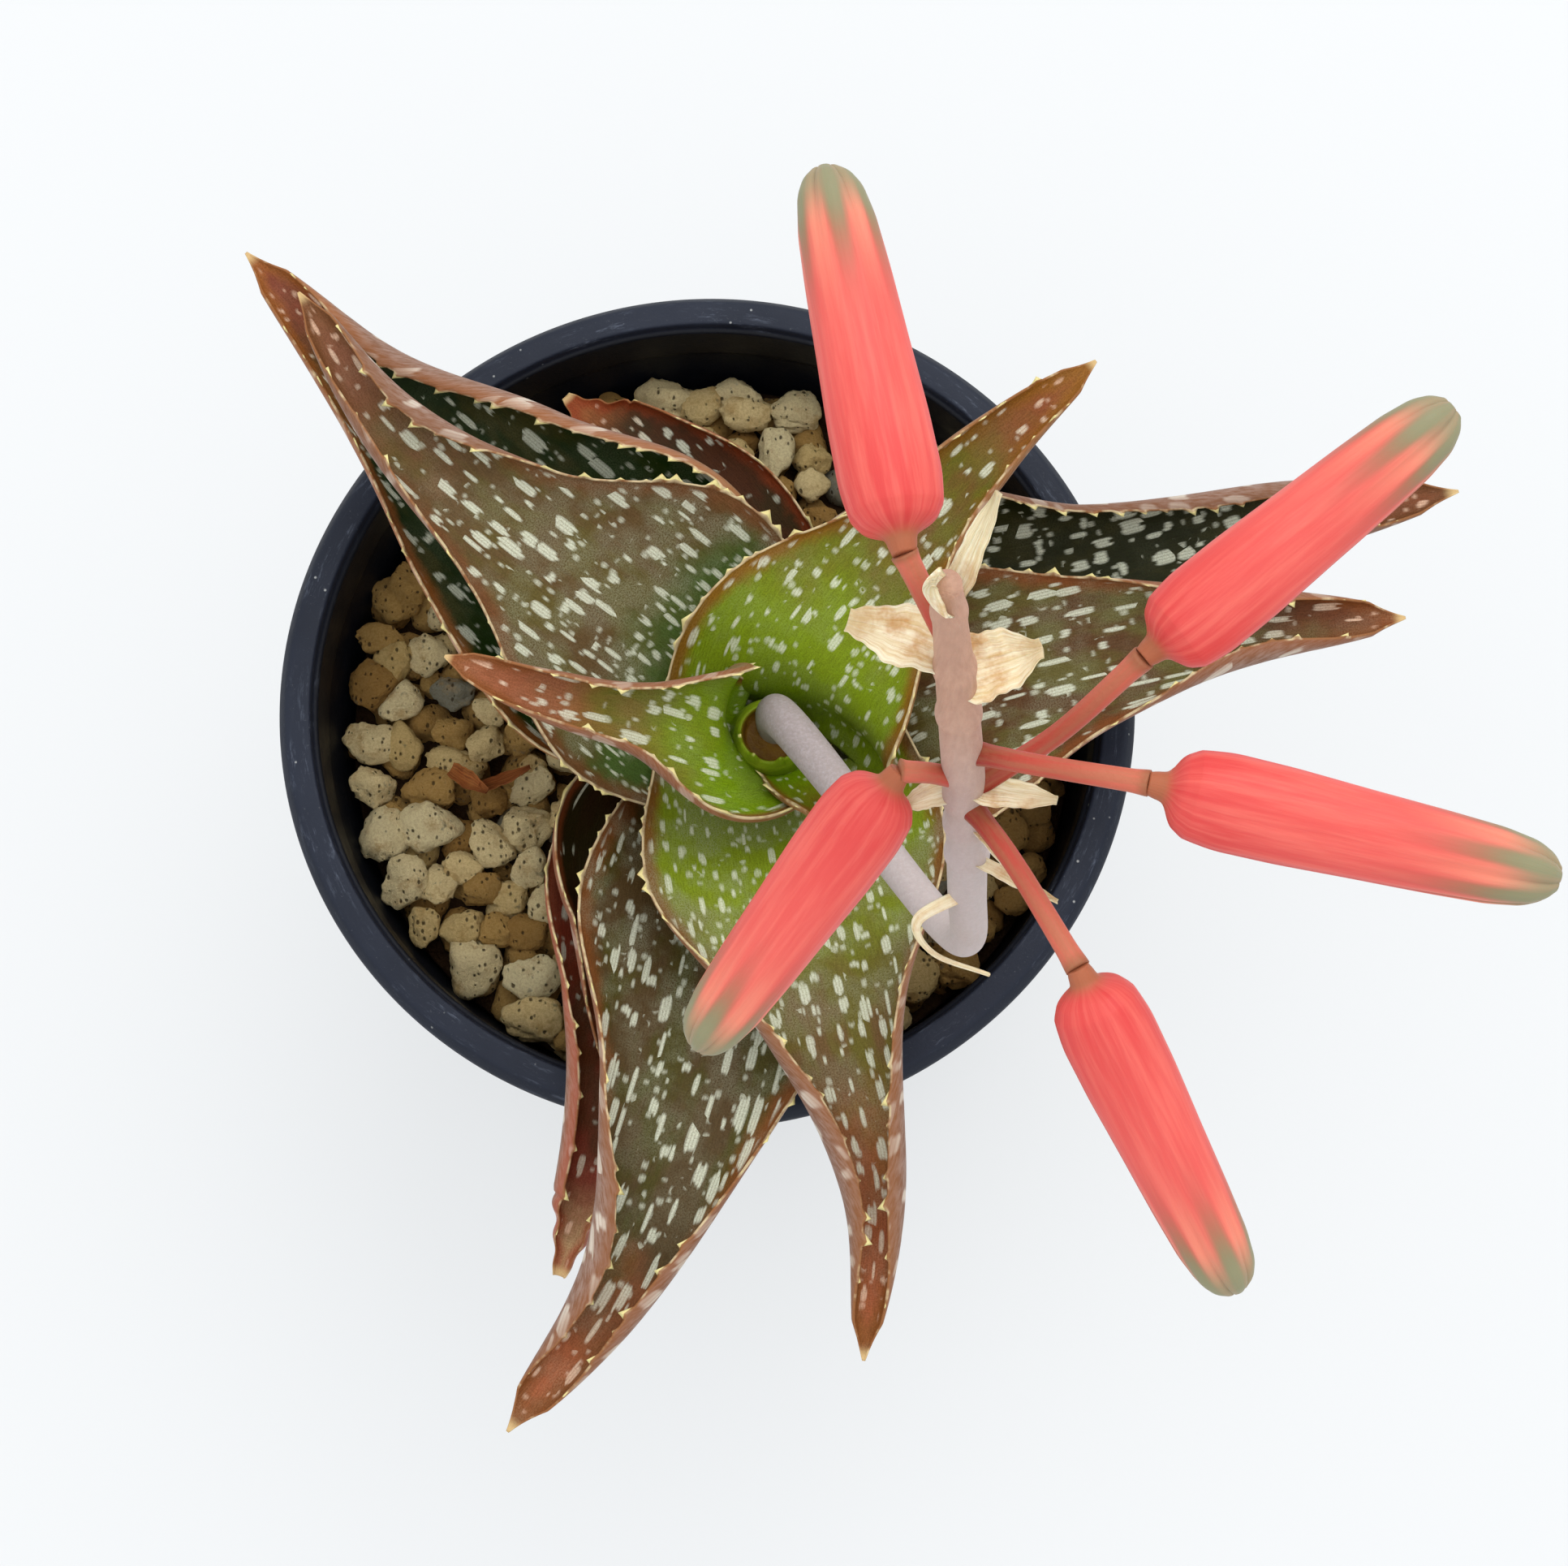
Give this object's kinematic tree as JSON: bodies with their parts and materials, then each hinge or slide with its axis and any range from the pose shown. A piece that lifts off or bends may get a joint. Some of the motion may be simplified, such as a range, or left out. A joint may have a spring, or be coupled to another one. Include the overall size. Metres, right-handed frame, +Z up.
{
  "type": "potted aloe ruffingiana",
  "caption": "Small spotted aloe in a round black nursery pot, toothed brown-green leaves in a flat rosette, pumice top dressing and a bent mauve stalk with coral tube flowers.",
  "frame": {"origin": "centre of the pot's flat underside", "axes": "+Z up along the pot's axis, -Y the side the camera leans from, +X to the picture's right"},
  "size_m": [0.1231, 0.1199, 0.1821],
  "materials": {
    "pot_plastic": "black polypropylene, satin, scuffed at the rim",
    "grit": "dry pumice and clay grains, matt",
    "trunk": "dry leaf scars, matt",
    "leaf_flesh": "waxy succulent skin, satin",
    "stalk_flesh": "waxy bloom, satin",
    "petal": "smooth waxy tube flower"
  },
  "bodies": {
    "root": {"pot": "pot_plastic", "soil": "grit", "stem": "trunk", "leaf_01": "leaf_flesh", "leaf_02": "leaf_flesh", "leaf_03": "leaf_flesh", "leaf_04": "leaf_flesh", "leaf_05": "leaf_flesh", "leaf_06": "leaf_flesh", "leaf_07": "leaf_flesh", "leaf_08": "leaf_flesh", "leaf_09": "leaf_flesh", "leaf_10": "leaf_flesh", "leaf_11": "leaf_flesh", "leaf_12": "leaf_flesh", "flower_stalk": "stalk_flesh", "flower_1": "petal", "flower_2": "petal", "flower_3": "petal", "flower_4": "petal", "flower_5": "petal"}
  },
  "joints": []
}
